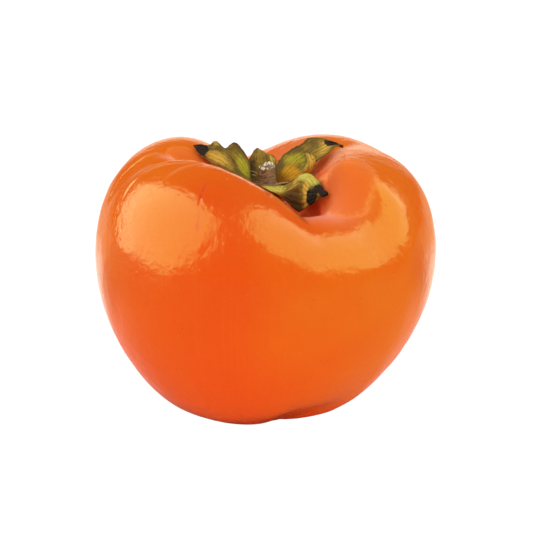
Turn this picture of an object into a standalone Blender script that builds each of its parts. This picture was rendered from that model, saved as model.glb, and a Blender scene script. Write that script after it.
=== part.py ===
"""Persimmon with its calyx and a stub of stem, standing on its blossom end.

Metres, +Z up. Modelled about the stem's axis in millimetres, then carried by one empty
that puts the middle of the fruit over the origin and its flat resting spot at z = 0.
Azimuths are in degrees from the front (-Y) towards +X.
"""

import math

import bmesh
import bpy
import numpy as np
from mathutils import Vector
from mathutils.bvhtree import BVHTree

MM = 0.001
GAP = 0.35                     # between the calyx and what it touches
SAG = 0.25                     # added to the gap, since faces sag between their corners

# Fruit: (radius, height) of one lobe's crest, from the blossom end round to the calyx.
# They are the control points of a uniform cubic B-spline.
LOBE_PROFILE = (
    (0.0, 0.9), (7.0, 0.6), (20.0, 4.8), (29.0, 11.7), (39.0, 27.0), (42.4, 44.8),
    (37.6, 62.8), (24.5, 69.6), (14.5, 67.4), (9.0, 58.0), (0.0, 58.0),
)
# What a furrow of depth 1 adds to each of those points.
FURROW_PROFILE = (
    (0.0, 0.0), (0.0, 0.0), (0.0, 3.9), (-0.8, 0.3), (-0.8, 0.0), (-1.5, 0.7),
    (-2.1, -6.0), (0.0, -10.5), (2.2, -10.5), (2.0, -0.5), (0.0, 0.0),
)
# Azimuth and depth, then reach and steepness towards lower and towards higher azimuths.
FURROWS = (
    (21.4, 1.00, (20.8, 0.9), (28.3, 5.2)),
    (113.0, 0.10, (11.4, 1.3), (14.9, 1.3)),
    (194.0, 0.98, (29.0, 1.3), (27.0, 1.3)),
    (282.0, 0.51, (14.1, 1.3), (5.6, 1.3)),
)
FURROW_FLOOR = 3.0             # degrees over which its bottom is rounded
LEAN_X = -2.4                  # how far the blossom end is pulled to -X
TILT = (-0.032, 0.07)          # rise of the crown per millimetre along X and Y
CROWN_HEIGHT = 68.0
FLAT_LEVEL = 1.5               # everything lower is pressed flat, the resting spot
DIMPLE_RADIUS = 2.6
DIMPLE_DEPTH = 1.0
# The hollow inside the deepest furrow, just behind its lip.
HOLLOW_MIDDLE = (9.0, -12.0)
HOLLOW_HALF_SIZE = (7.0, 6.4)
HOLLOW_DEPTH = 5.0
HOLLOW_EDGE = 6.0
HOLLOW_ABOVE = 40.0
FRUIT_SEGMENTS = 80
FRUIT_RINGS = 44

# Calyx: a thick disc under the stem, and four sepals grown from it.
DISC_BOTTOM = 58.0 + GAP
DISC_THICKNESS = 1.0
DISC_RADIUS = 6.0
DISC_TAPER = 0.86              # its top radius as a share of its bottom radius
DISC_SEGMENTS = 24
SEPAL_THICKNESS = 0.7
SEPAL_ROWS = 15
SEPAL_COLUMNS = 5              # in each half
TIP_HALF_WIDTH = 0.5
# Each sepal's midrib is a cubic Bezier curve. Its halves leave the midrib at an angle
# above the level side line and curl by so much more at the margin. A half has a share of
# its width at the root, is widest at a share of the length, closes to the tip by a
# steepness, and its margin ripples: (ripples, phase, height).
SEPALS = (
    dict(
        name="front",
        midrib=((2.0, -2.6, 59.0), (5.4, -6.8, 61.6), (10.4, -9.4, 63.6), (13.6, -10.0, 63.0)),
        right=dict(width=8.4, angle=-56, curl=-20, root=0.55, widest=0.50, steep=2.1,
                   ripple=(1.0, 0.0, 0.2)),
        left=dict(width=5.2, angle=26, curl=14, root=0.35, widest=0.62, steep=2.3,
                  ripple=(1.5, 0.5, 0.2)),
    ),
    dict(
        name="right",
        midrib=((2.6, 1.8, 59.0), (7.0, 3.8, 60.6), (11.5, 4.8, 68.4), (18.2, 3.0, 68.2)),
        right=dict(width=5.6, angle=-14, curl=-45, root=0.62, widest=0.40, steep=2.1,
                   ripple=(1.5, 1.0, 0.5)),
        left=dict(width=7.0, angle=36, curl=16, root=0.62, widest=0.50, steep=2.3,
                  ripple=(2.0, 0.0, 0.35)),
    ),
    dict(
        name="back",
        midrib=((-1.2, 3.2, 59.0), (-1.5, 5.2, 63.5), (-1.8, 8.4, 69.6), (-3.6, 14.6, 63.0)),
        right=dict(width=4.6, angle=0, curl=-50, root=0.70, widest=0.40, steep=2.1,
                   ripple=(1.0, 0.0, 0.3)),
        left=dict(width=4.0, angle=6, curl=-50, root=0.66, widest=0.40, steep=2.1,
                  ripple=(1.5, 2.0, 0.3)),
    ),
    dict(
        name="left",
        midrib=((-4.2, -0.8, 59.0), (-8.4, -0.6, 61.0), (-11.5, 1.5, 66.4), (-17.2, 3.2, 68.0)),
        right=dict(width=8.4, angle=60, curl=10, root=0.40, widest=0.42, steep=1.9,
                   ripple=(2.5, 5.6, 1.8)),
        left=dict(width=4.6, angle=-8, curl=14, root=0.70, widest=0.40, steep=2.1,
                  ripple=(2.0, 0.0, 0.35)),
    ),
)
OPENS_OVER = 0.3               # share of the length over which a sepal leaves the level
CLOSES_OVER = 0.35             # and over which its tip comes back to it
HALF_STEPS = 8

# Stem: a stub broken off a few millimetres above the disc.
STEM_RADII = (2.2, 1.75)
STEM_LENGTH = 4.6
STEM_SEGMENTS = 20
STEM_LEAN_X = 0.3
BREAK_WAVES = ((3, 0.35, 0.4), (7, 0.25, 1.3))
BREAK_HOLLOW = 0.8


def spline(points, t):
    """Uniform cubic B-spline over control points, mirrored across the axis at both ends."""
    points = np.asarray(points, float)
    flip = np.array([-1.0, 1.0])
    padded = np.vstack([points[1] * flip, points, points[-2] * flip])
    spans = len(points) - 1
    place = np.clip(t, 0.0, 1.0) * spans
    span = np.minimum(place.astype(int), spans - 1)
    f = (place - span)[:, None]
    return (
        (1 - f) ** 3 * padded[span]
        + (3 * f**3 - 6 * f**2 + 4) * padded[span + 1]
        + (-3 * f**3 + 3 * f**2 + 3 * f + 1) * padded[span + 2]
        + f**3 * padded[span + 3]
    ) / 6


def furrow_depth(azimuth):
    """Sum of the furrows' depths at each azimuth."""
    total = np.zeros_like(azimuth)
    for middle, depth, low, high in FURROWS:
        away = (azimuth - middle + 180.0) % 360.0 - 180.0
        rounded = np.hypot(away, FURROW_FLOOR) - FURROW_FLOOR
        reach = np.where(away < 0, low[0], high[0])
        steepness = np.where(away < 0, low[1], high[1])
        total += depth * np.exp(-((rounded / reach) ** steepness))
    return total


def fruit_surface(t, azimuth):
    """Points of the skin: t runs from 0 at the blossom end to 1 under the calyx."""
    profile = spline(LOBE_PROFILE, t)
    profile = profile + furrow_depth(azimuth)[:, None] * spline(FURROW_PROFILE, t)
    radius = np.maximum(profile[:, 0], 0.0)
    angle = np.radians(azimuth)
    x = radius * np.sin(angle)
    y = -radius * np.cos(angle)
    z = profile[:, 1]
    up = np.clip(z / CROWN_HEIGHT, 0.0, 1.0)
    x = x + LEAN_X * (1 - up) ** 2
    z = z + up**2 * (TILT[0] * x + TILT[1] * y)
    off_middle = np.hypot(
        (x - HOLLOW_MIDDLE[0]) / HOLLOW_HALF_SIZE[0],
        (y - HOLLOW_MIDDLE[1]) / HOLLOW_HALF_SIZE[1],
    )
    z = z - (z > HOLLOW_ABOVE) * HOLLOW_DEPTH * np.exp(-(off_middle**HOLLOW_EDGE))
    z = np.maximum(z, FLAT_LEVEL)
    z = z + (z < HOLLOW_ABOVE) * DIMPLE_DEPTH * np.exp(-((radius / DIMPLE_RADIUS) ** 4))
    return np.stack([x, y, z], axis=1)


def material(name, colour, roughness):
    made = bpy.data.materials.new(name)
    made.use_nodes = True
    shader = made.node_tree.nodes["Principled BSDF"]
    shader.inputs["Base Color"].default_value = (*colour, 1.0)
    shader.inputs["Roughness"].default_value = roughness
    made.diffuse_color = (*colour, 1.0)
    return made


def add_object(name, bm, collection, finish=None):
    mesh = bpy.data.meshes.new(name)
    bmesh.ops.recalc_face_normals(bm, faces=bm.faces)
    bm.to_mesh(mesh)
    bm.free()
    mesh.shade_smooth()
    if finish:
        mesh.materials.append(finish)
    made = bpy.data.objects.new(name, mesh)
    collection.objects.link(made)
    return made


def make_fruit(collection):
    bm = bmesh.new()
    bmesh.ops.create_uvsphere(
        bm, u_segments=FRUIT_SEGMENTS, v_segments=FRUIT_RINGS, radius=1.0
    )
    unit = np.array([vert.co for vert in bm.verts])
    t = np.arccos(np.clip(-unit[:, 2], -1.0, 1.0)) / math.pi
    azimuth = np.degrees(np.arctan2(unit[:, 0], -unit[:, 1]))
    for vert, point in zip(bm.verts, fruit_surface(t, azimuth) * MM):
        vert.co = point
    skin = material("persimmon_skin", (0.81, 0.10, 0.012), 0.2)
    return add_object("fruit", bm, collection, skin)


def bezier(points, s):
    """Point and unit direction of a cubic Bezier curve."""
    a, b, c, d = (Vector(p) for p in points)
    r = 1 - s
    point = r**3 * a + 3 * r * r * s * b + 3 * r * s * s * c + s**3 * d
    along = r * r * (b - a) + 2 * r * s * (c - b) + s * s * (d - c)
    return point, along.normalized()


def sepal_outline(half, s):
    """Width of a half at s along the midrib."""
    swell = min(s / half["widest"], 1.0)
    swell = swell * swell * (3 - 2 * swell)
    share = half["root"] + (1 - half["root"]) * swell
    return max(half["width"] * share * (1 - s ** half["steep"]), TIP_HALF_WIDTH)


def sepal_point(spec, s, q):
    """Point of a sepal's sheet: s along it, q from -1 at its left margin to 1 at its right."""
    point, along = bezier(spec["midrib"], s)
    side = along.cross(Vector((0, 0, 1))).normalized()
    upward = side.cross(along).normalized()
    half = spec["right"] if q >= 0 else spec["left"]
    sign = 1 if q >= 0 else -1
    opened = min(s / OPENS_OVER, (1 - s) / CLOSES_OVER, 1.0)
    step = sepal_outline(half, s) * abs(q) / HALF_STEPS
    for i in range(HALF_STEPS):
        share = abs(q) * (i + 0.5) / HALF_STEPS
        turn = math.radians(opened * (half["angle"] + half["curl"] * share))
        point = point + step * (sign * math.cos(turn) * side + math.sin(turn) * upward)
    ripples, phase, height = half["ripple"]
    ripple = height * math.sin(2 * math.pi * ripples * s + phase)
    return point + upward * (opened * (1 - s) ** 0.5 * ripple * q * q)


def keep_clear(point, surface, clearance):
    """The point, pushed out along the surface's normal to at least the clearance."""
    nearest, normal, _, _ = surface.find_nearest(point)
    height = (point - nearest).dot(normal)
    if height < clearance:
        point = point + normal * (clearance - height)
    return point


def make_sepal(spec, surface, collection):
    """An open sheet of four-sided faces, split alike on both faces, and thickened."""
    bm = bmesh.new()
    clearance = (GAP + SAG + SEPAL_THICKNESS / 2) * MM
    columns = [i / SEPAL_COLUMNS for i in range(-SEPAL_COLUMNS, SEPAL_COLUMNS + 1)]
    rows = []
    for r in range(SEPAL_ROWS + 1):
        s = r / SEPAL_ROWS
        points = (sepal_point(spec, s, q) * MM for q in columns)
        rows.append([bm.verts.new(keep_clear(p, surface, clearance)) for p in points])
    for low, high in zip(rows, rows[1:]):
        for i in range(len(columns) - 1):
            corners = (low[i], low[i + 1], high[i + 1], high[i])
            bm.faces.new(corners)
    bmesh.ops.triangulate(bm, faces=bm.faces, quad_method="FIXED")
    sepal = add_object("sepal_" + spec["name"], bm, collection)
    shell = sepal.modifiers.new("thickness", "SOLIDIFY")
    shell.thickness = SEPAL_THICKNESS * MM
    shell.offset = 0.0
    return sepal


def make_calyx(collection, fruit):
    surface = BVHTree.FromObject(fruit, bpy.context.evaluated_depsgraph_get())
    sepals = bpy.data.collections.new("sepals")
    bpy.context.scene.collection.children.link(sepals)
    for spec in SEPALS:
        make_sepal(spec, surface, sepals)
    bm = bmesh.new()
    bmesh.ops.create_cone(
        bm, cap_ends=True, segments=DISC_SEGMENTS, radius1=DISC_RADIUS * MM,
        radius2=DISC_TAPER * DISC_RADIUS * MM, depth=DISC_THICKNESS * MM,
    )
    middle = Vector((0, 0, (DISC_BOTTOM + DISC_THICKNESS / 2) * MM))
    bmesh.ops.translate(bm, verts=bm.verts, vec=middle)
    for vert in bm.verts:
        vert.co = keep_clear(vert.co, surface, (GAP + SAG) * MM)
    calyx = add_object("calyx", bm, collection, material("calyx_green", (0.24, 0.20, 0.03), 0.6))
    union = calyx.modifiers.new("sepals", "BOOLEAN")
    union.operation = "UNION"
    union.operand_type = "COLLECTION"
    union.collection = sepals
    graph = bpy.context.evaluated_depsgraph_get()
    joined = bpy.data.meshes.new_from_object(calyx.evaluated_get(graph))
    calyx.modifiers.clear()
    calyx.data = joined
    for sepal in list(sepals.objects):
        bpy.data.objects.remove(sepal, do_unlink=True)
    bpy.data.collections.remove(sepals)
    return calyx


def make_stem(collection):
    bm = bmesh.new()
    bottom = DISC_BOTTOM + DISC_THICKNESS + GAP
    bmesh.ops.create_cone(
        bm, cap_ends=True, cap_tris=True, segments=STEM_SEGMENTS,
        radius1=STEM_RADII[0] * MM, radius2=STEM_RADII[1] * MM, depth=STEM_LENGTH * MM,
    )
    for vert in bm.verts:
        if vert.co.z < 0:
            continue
        angle = math.atan2(vert.co.y, vert.co.x)
        if vert.co.xy.length < 1e-6:
            vert.co.z -= BREAK_HOLLOW * MM
        else:
            for count, height, phase in BREAK_WAVES:
                vert.co.z += height * MM * math.sin(count * angle + phase)
        vert.co.x += STEM_LEAN_X * MM
    bmesh.ops.translate(bm, verts=bm.verts, vec=(0, 0, (bottom + STEM_LENGTH / 2) * MM))
    return add_object("stem", bm, collection, material("stem_bark", (0.19, 0.10, 0.045), 0.85))


def main():
    for old in list(bpy.data.objects):
        bpy.data.objects.remove(old, do_unlink=True)
    parts = bpy.data.collections.new("persimmon")
    bpy.context.scene.collection.children.link(parts)
    fruit = make_fruit(parts)
    calyx = make_calyx(parts, fruit)
    stem = make_stem(parts)
    corners = np.array([vert.co for vert in fruit.data.vertices])
    middle = (corners.min(axis=0) + corners.max(axis=0)) / 2
    seat = bpy.data.objects.new("persimmon_seat", None)
    seat.location = (-middle[0], -middle[1], -FLAT_LEVEL * MM)
    parts.objects.link(seat)
    for piece in (fruit, calyx, stem):
        piece.parent = seat


main()
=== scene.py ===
import math
import random

import bpy
import numpy as np
from mathutils import Matrix, Vector, noise
from mathutils.bvhtree import BVHTree


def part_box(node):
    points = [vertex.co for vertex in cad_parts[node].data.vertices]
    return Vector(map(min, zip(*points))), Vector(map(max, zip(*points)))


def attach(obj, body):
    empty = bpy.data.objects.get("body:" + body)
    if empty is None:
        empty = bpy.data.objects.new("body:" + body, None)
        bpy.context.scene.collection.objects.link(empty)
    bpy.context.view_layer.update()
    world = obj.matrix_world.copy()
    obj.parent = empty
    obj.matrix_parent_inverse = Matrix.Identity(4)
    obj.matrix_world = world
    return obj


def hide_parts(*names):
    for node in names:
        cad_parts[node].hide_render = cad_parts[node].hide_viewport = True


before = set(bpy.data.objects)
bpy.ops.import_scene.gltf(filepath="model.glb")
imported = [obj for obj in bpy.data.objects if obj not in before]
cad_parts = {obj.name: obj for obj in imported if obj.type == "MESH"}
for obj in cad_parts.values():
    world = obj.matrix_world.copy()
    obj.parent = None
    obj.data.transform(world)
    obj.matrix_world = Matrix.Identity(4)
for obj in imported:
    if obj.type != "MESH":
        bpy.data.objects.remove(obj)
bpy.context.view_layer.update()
fruitLow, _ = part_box("fruit")
mm = 0.001
white = (1, 1, 1, 1)
black = (0, 0, 0, 1)


def smooth(value, low, high):
    # 0 below low, 1 above high, eased between them
    x = np.clip((value - low) / (high - low), 0.0, 1.0)
    return x * x * (3 - 2 * x)


def between(value, rise, fall):
    # 0, then 1 past the rise, then 0 past the fall
    return smooth(value, *rise) * (1 - smooth(value, *fall))


def hump(value, middle, reach):
    return np.exp(-(((value - middle) / reach) ** 2))


def patch(x, y, middle, reach, edge):
    # 1 in the middle of an oval seen from above, 0 outside it, with a sharper border for a larger edge
    away = np.hypot((x - middle[0]) / reach[0], (y - middle[1]) / reach[1])
    return np.exp(-(away**edge))


def unit(vectors):
    return vectors / np.maximum(np.linalg.norm(vectors, axis=-1, keepdims=True), 1e-12)


def rough(place, octaves=3, softness=0.7):
    return noise.fractal(Vector(place), softness, 2.0, octaves)


def grain(points, scale, seed):
    # one noise value for each point
    shift = Vector((seed, 1.7 * seed, -0.6 * seed))
    return np.array([rough(Vector(p) * scale + shift) for p in points])


def addObject(name, data):
    made = bpy.data.objects.new(name, data)
    bpy.context.scene.collection.objects.link(made)
    return made


def meshObject(name, points, faces, finish):
    mesh = bpy.data.meshes.new(name)
    mesh.from_pydata([tuple(p) for p in points], [], faces)
    mesh.update()
    mesh.shade_smooth()
    mesh.materials.append(finish.material)
    return addObject(name, mesh)


def meshPiece(name, points, faces, finish):
    piece = meshObject(name, points, faces, finish)
    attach(piece, "root")
    return piece


def addValues(piece, name, values):
    # one number or vector for each vertex, which the material reads by name
    values = np.asarray(values, np.float32)
    kind, field = ("FLOAT", "value") if values.ndim == 1 else ("FLOAT_VECTOR", "vector")
    piece.data.attributes.new(name, kind, "POINT").data.foreach_set(field, values.ravel())


class Wire:
    # a node's output, so that shader maths reads as maths
    def __init__(self, maker, socket):
        self.maker = maker
        self.socket = socket

    def maths(self, operation, first, second=0.0):
        return self.maker.add("ShaderNodeMath", {"operation": operation}, {0: first, 1: second})

    def __add__(self, other):
        return self.maths("ADD", self, other)

    def __radd__(self, other):
        return self.maths("ADD", other, self)

    def __sub__(self, other):
        return self.maths("SUBTRACT", self, other)

    def __rsub__(self, other):
        return self.maths("SUBTRACT", other, self)

    def __mul__(self, other):
        return self.maths("MULTIPLY", self, other)

    def __rmul__(self, other):
        return self.maths("MULTIPLY", other, self)

    def __abs__(self):
        return self.maths("ABSOLUTE", self)

    def sine(self):
        return self.maths("SINE", self)

    def step(self, low, high):
        # 0 below low, 1 above high, eased between them
        values = {0: self, 1: low, 2: high, 3: 0.0, 4: 1.0}
        return self.maker.add("ShaderNodeMapRange", {"interpolation_type": "SMOOTHSTEP"}, values)


class NodeMaker:
    # adds the nodes of a material or of the surroundings
    def __init__(self, owner):
        owner.use_nodes = True
        self.nodes = owner.node_tree.nodes
        self.links = owner.node_tree.links

    def feed(self, socket, value):
        if isinstance(value, Wire):
            self.links.new(value.socket, socket)
        else:
            socket.default_value = value

    def add(self, nodeType, settings=None, values=None, output=0):
        node = self.nodes.new(nodeType)
        for name, value in (settings or {}).items():
            setattr(node, name, value)
        for key, value in (values or {}).items():
            self.feed(node.inputs[key], value)
        return Wire(self, node.outputs[output])

    def rayIs(self, kind):
        return self.add("ShaderNodeLightPath", output="Is " + kind + " Ray")

    def part(self, vector, axis):
        return self.add("ShaderNodeSeparateXYZ", None, {0: vector}, axis)

    def blend(self, share, first, second):
        return self.add("ShaderNodeMix", {"data_type": "RGBA"}, {0: share, 6: first, 7: second}, 2)


class Finish(NodeMaker):
    # one material and what drives its Principled shader
    def __init__(self, name, **fixed):
        self.material = bpy.data.materials.new(name)
        super().__init__(self.material)
        self.finishWith(**fixed)

    def finishWith(self, **sockets):
        inputs = self.nodes["Principled BSDF"].inputs
        for socket, value in sockets.items():
            self.feed(inputs[socket.replace("_", " ")], value)

    def place(self, stretch=(1, 1, 1)):
        # the point on the object, in metres, stretched
        point = self.add("ShaderNodeTexCoord", output="Object")
        return self.add("ShaderNodeVectorMath", {"operation": "MULTIPLY"}, {0: point, 1: stretch})

    def painted(self, name, output="Fac"):
        return self.add("ShaderNodeAttribute", {"attribute_name": name}, output=output)

    def noise(self, vector, scale, detail=2.0, distortion=0.0):
        values = {"Vector": vector, "Scale": scale, "Detail": detail, "Distortion": distortion}
        return self.add("ShaderNodeTexNoise", None, values)

    def dots(self, vector, scale, size):
        # 1 inside round dots of that size, a share of their spacing
        away = self.add("ShaderNodeTexVoronoi", {"feature": "F1"}, {"Vector": vector, "Scale": scale})
        return 1 - away.step(0.55 * size, size)

    def layered(self, colour, look, layers):
        # the look's colours over one another, each with its share
        for name, share in layers:
            colour = self.blend(share, colour, look[name])
        return colour

    def bump(self, height, distance, under=None):
        values = {"Height": height, "Distance": distance, "Strength": 1.0}
        if under:
            values["Normal"] = under
        return self.add("ShaderNodeBump", None, values)


# the fruit has the solid's own form, on a finer net, with pleats and small dents
fruit = {
    "segments": 384,
    "rings": 252,
    # the net is closer where the pleats are: by what share, and azimuths where that begins and ends
    "closer": (1.3, (255.0, 268.0), (338.0, 350.0)),
    # (radius, height) of one lobe's crest, from the blossom end round to the calyx
    "lobe": [(0.0, 0.9), (7.0, 0.6), (20.0, 4.8), (29.0, 11.7), (39.0, 27.0), (42.4, 44.8),
             (37.6, 62.8), (24.5, 69.6), (14.5, 67.4), (9.0, 58.0), (0.0, 58.0)],
    # what a furrow of depth 1 adds to each of those points
    "furrow": [(0.0, 0.0), (0.0, 0.0), (0.0, 3.9), (-0.8, 0.3), (-0.8, 0.0), (-1.5, 0.7),
               (-2.1, -6.0), (0.0, -10.5), (2.2, -10.5), (2.0, -0.5), (0.0, 0.0)],
    # azimuth and depth, then reach and steepness to each side
    "furrows": [(21.4, 1.00, (20.8, 0.9), (27.2, 6.5)), (113.0, 0.10, (11.4, 1.3), (14.9, 1.3)),
                (194.0, 0.98, (29.0, 1.3), (27.0, 1.3)), (282.0, 0.51, (14.1, 1.3), (5.6, 1.3))],
    "furrowFloor": 3.0,
    "leanX": -2.4,
    "tilt": (-0.032, 0.07),   # how the crown rises towards +X and +Y
    "crownHeight": 68.0,
    "flatLevel": 1.5,
    "dimple": (2.6, 1.0),   # at the blossom end: radius and depth
    "hollowMiddle": (8.2, -11.8),
    "hollowHalfSize": (6.8, 6.2),
    "hollowDepth": 4.6,
    "hollowEdge": 3.2,
    "hollowAbove": 40.0,
    # pleats run down from the crown: places as (azimuth, t), then width and height in mm
    "pleats": [
        ([(271, 0.715), (270, 0.685), (272, 0.65), (275, 0.622), (276, 0.6)], 0.45, 0.16),
        ([(309, 0.77), (304, 0.715), (295, 0.68), (293, 0.64)], 0.6, 0.2),
        ([(314, 0.755), (311, 0.72), (309, 0.695), (309, 0.655)], 0.6, 0.14),
        ([(293, 0.64), (293, 0.615), (295, 0.592)], 0.45, 0.14),
        ([(275, 0.618), (279, 0.588), (278, 0.56)], 0.45, 0.12),
        ([(169, 0.79), (167, 0.755), (163, 0.722)], 0.45, 0.16),
        ([(97, 0.69), (96, 0.65), (98, 0.615)], 0.6, 0.1),
        ([(90, 0.7), (90, 0.65), (91, 0.62)], 0.5, 0.08),
    ],
    "pleatSides": 0.6,   # how deep the skin dips beside a pleat, as a share of its height
    "scars": [
        ([(330, 0.68), (332, 0.643), (334, 0.62)], 0.26, 0.05),
        ([(334, 0.618), (335, 0.6), (336, 0.58)], 0.2, 0.02),
        ([(335.0, 0.598), (335.2, 0.588)], 0.42, 0.08),
        ([(0.5, 0.735), (1.5, 0.712)], 0.55, 0.35),
    ],
    "scarSides": 0.3,
    "shallowFurrow": (282.0, 0.66, 0.78),   # it fades down the side: azimuth, t from and to
    "shallowLeft": 0.35,   # and keeps this share of its depth there
    # soft swellings on the upper side: x, y, reach in x and y, height
    "swellings": [(17.5, -15.5, 3.8, 3.8, 2.3), (-10.5, -15.5, 6.0, 6.0, 0.9),
                  (-19.0, 12.0, 10.0, 9.0, 0.5)],
    "lumps": (0.10, 0.12, 3.0),   # the soft unevenness all over: height in mm, scale and seed
    "seatEase": (0.2, 4.0),       # no relief at the resting spot, all of it from this high above it
    # how yellow the skin is, as painted light on the flanks: azimuth and reach, t where it begins and
    # is full, amount
    "litTone": [((85.0, 62.0), (0.12, 0.50), 0.95), ((230.0, 45.0), (0.12, 0.50), 0.665),
              ((292.0, 22.0), (0.30, 0.45), 0.30)],
    "litToneAllRound": [((0.35, 0.60), 0.15), ((0.60, 0.75), 0.20)],
    "shadedValley": ((343.0, 11.0), (0.54, 0.11), 0.5),   # painted shade: azimuth, then t, with their reaches, and amount
    "paintedSheenBack": ((163.0, 26.0), (0.78, 0.07), 1.1),    # a painted sheen at the back of the bowl, in the same way
    "furrowTint": (0.55, 0.75),   # t where the furrows' coral, partly painted light, begins and is full
    "footTint": (0.02, 0.30),     # t where the foot's red begins to go and is gone
    # the basin round the calyx: heights where it begins, radii where it ends
    "basinAbove": (50.0, 56.0),
    "basinReach": (13.0, 19.0),
    # dull waxy bloom round the calyx and in patches, some of them painted light: middle, reach in x and
    # y, amount
    "bloomBasin": ((9.0, 19.0), 0.15),
    "bloomAbove": (40.0, 50.0),
    # the patch on the saddle before the hollow is partly a painted sheen, the one on the hollow's right
    # wall partly a painted lift of its shade
    "bloomAndLightPatches": [((12.5, -19.0), (6.8, 4.8), 1.0), ((14.7, -11.5), (1.6, 6.5), 0.8),
                     ((-23.0, -1.3), (2.4, 0.8), 0.8)],
    # where the wax is worn: the rise from the hollow to the crest at its right, and the left furrow's
    # head; middle, reach in x and y, heights where it begins
    "wornPatches": [((19.0, -14.5), (6.6, 8.0), (54.5, 57.5)),
                    ((-19.4, 1.0), (4.8, 3.0), (60.0, 63.0))],
}


def spline(points, t):
    # uniform cubic B-spline, mirrored across the axis at both ends
    points = np.asarray(points, float)
    flip = np.array([-1.0, 1.0])
    padded = np.vstack([points[1] * flip, points, points[-2] * flip])
    spans = len(points) - 1
    place = np.clip(t, 0.0, 1.0) * spans
    span = np.minimum(place.astype(int), spans - 1)
    f = (place - span)[:, None]
    total = (1 - f) ** 3 * padded[span] + (3 * f**3 - 6 * f**2 + 4) * padded[span + 1]
    total += (-3 * f**3 + 3 * f**2 + 3 * f + 1) * padded[span + 2] + f**3 * padded[span + 3]
    return total / 6


def turned(azimuth, middle):
    # degrees from middle, between -180 and 180
    return (azimuth - middle + 180.0) % 360.0 - 180.0


def facing(azimuth, middle, reach):
    return hump(turned(azimuth, middle), 0.0, reach)


def furrowDepth(azimuth, t=None):
    total = np.zeros_like(azimuth)
    shallow, start, end = fruit["shallowFurrow"]
    kept = fruit["shallowLeft"]
    for middle, depth, low, high in fruit["furrows"]:
        if t is not None and middle == shallow:
            depth = depth * (kept + (1 - kept) * smooth(t, start, end))
        away = turned(azimuth, middle)
        rounded = np.hypot(away, fruit["furrowFloor"]) - fruit["furrowFloor"]
        reach = np.where(away < 0, low[0], high[0])
        steepness = np.where(away < 0, low[1], high[1])
        total += depth * np.exp(-((rounded / reach) ** steepness))
    return total


def fruitForm(t, azimuth):
    # in mm about the stem's axis, t from 0 at the blossom end to 1 under the calyx
    profile = spline(fruit["lobe"], t) + furrowDepth(azimuth, t)[:, None] * spline(fruit["furrow"], t)
    radius = np.maximum(profile[:, 0], 0.0)
    angle = np.radians(azimuth)
    x = radius * np.sin(angle)
    y = -radius * np.cos(angle)
    z = profile[:, 1]
    up = np.clip(z / fruit["crownHeight"], 0.0, 1.0)
    x = x + fruit["leanX"] * (1 - up) ** 2
    z = z + up**2 * (fruit["tilt"][0] * x + fruit["tilt"][1] * y)
    hollow = patch(x, y, fruit["hollowMiddle"], fruit["hollowHalfSize"], fruit["hollowEdge"])
    above = z > fruit["hollowAbove"]
    z = z - above * fruit["hollowDepth"] * hollow
    for atX, atY, reachX, reachY, height in fruit["swellings"]:
        z = z + above * height * hump(x, atX, reachX) * hump(y, atY, reachY)
    z = np.maximum(z, fruit["flatLevel"])
    z = z + ~above * fruit["dimple"][1] * np.exp(-((radius / fruit["dimple"][0]) ** 4))
    return np.stack([x, y, z], axis=1), hollow * above


def line(t, azimuth, radius, places, width):
    # 1 on a line that runs down the skin, and 1 on the strips to both sides of it
    places = sorted((at, around) for around, at in places)
    ts, azimuths = zip(*places)
    off = np.radians(turned(azimuth, np.interp(t, ts, azimuths))) * radius / width
    ease = 0.3 * (ts[-1] - ts[0])
    over = 0.2 * ease
    fade = between(t, (ts[0] - over, ts[0] + ease), (ts[-1] - ease, ts[-1] + over))
    return fade * hump(off, 0.0, 1.0), fade * hump(np.abs(off), 1.9, 1.0)


def foldRelief(t, azimuth, radius):
    # height in mm of pleats and scars, how strongly the painted highlight on the pleats' crests and at
    # the back of the bowl colours the skin, and how strongly the scars colour it
    total, scar = np.zeros_like(t), np.zeros_like(t)
    side, height, amount = fruit["paintedSheenBack"]
    paintedHighlight = amount * facing(azimuth, *side) * hump(t, *height)
    for places, width, height in fruit["pleats"]:
        on, beside = line(t, azimuth, radius, places, width)
        total += height * (on - fruit["pleatSides"] * beside)
        paintedHighlight = np.maximum(paintedHighlight, on)
    for places, width, depth in fruit["scars"]:
        on, beside = line(t, azimuth, radius, places, width)
        total -= depth * (on - fruit["scarSides"] * beside)
        scar = np.maximum(scar, on)
    return total, paintedHighlight, scar


def gridFaces(rows, columns, closed):
    # the four-sided faces of a net of rows by columns, whose rows close on themselves or not
    around = columns if closed else columns - 1
    faces = []
    for r in range(rows - 1):
        for c in range(around):
            a, b = r * columns + c, r * columns + (c + 1) % columns
            faces.append((a, b, b + columns, a + columns))
    return faces


def litTone(t, azimuth):
    # how yellow and light the skin is: painted light on the flanks and the top, most at +X, and painted
    # shade in the valley at the front
    side, height, amount = fruit["shadedValley"]
    total = -amount * facing(azimuth, *side) * hump(t, *height)
    for side, height, amount in fruit["litTone"]:
        total += amount * facing(azimuth, *side) * smooth(t, *height)
    for height, amount in fruit["litToneAllRound"]:
        total += amount * smooth(t, *height)
    return total


def basin(points, reach):
    around = np.hypot(points[:, 0], points[:, 1])
    return smooth(points[:, 2], *fruit["basinAbove"]) * (1 - smooth(around, *reach))


def bloomAndPaintedLight(points):
    x, y, z = points.T
    reach, amount = fruit["bloomBasin"]
    total = amount * basin(points, reach)
    for middle, reach, amount in fruit["bloomAndLightPatches"]:
        total += smooth(z, *fruit["bloomAbove"]) * amount * patch(x, y, middle, reach, 2)
    return np.clip(total, 0.0, 1.0)


def worn(points):
    x, y, z = points.T
    return sum(patch(x, y, middle, reach, 4) * smooth(z, *above)
               for middle, reach, above in fruit["wornPatches"])


def netAzimuths():
    # round the fruit, closer where the pleats are
    even = np.linspace(0.0, 360.0, 721)
    share, rise, fall = fruit["closer"]
    closeness = 1 + share * between(even, rise, fall)
    walked = np.concatenate([[0.0], np.cumsum((closeness[1:] + closeness[:-1]) / 2)])
    return np.interp(np.arange(fruit["segments"]) / fruit["segments"], walked / walked[-1], even)


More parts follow.
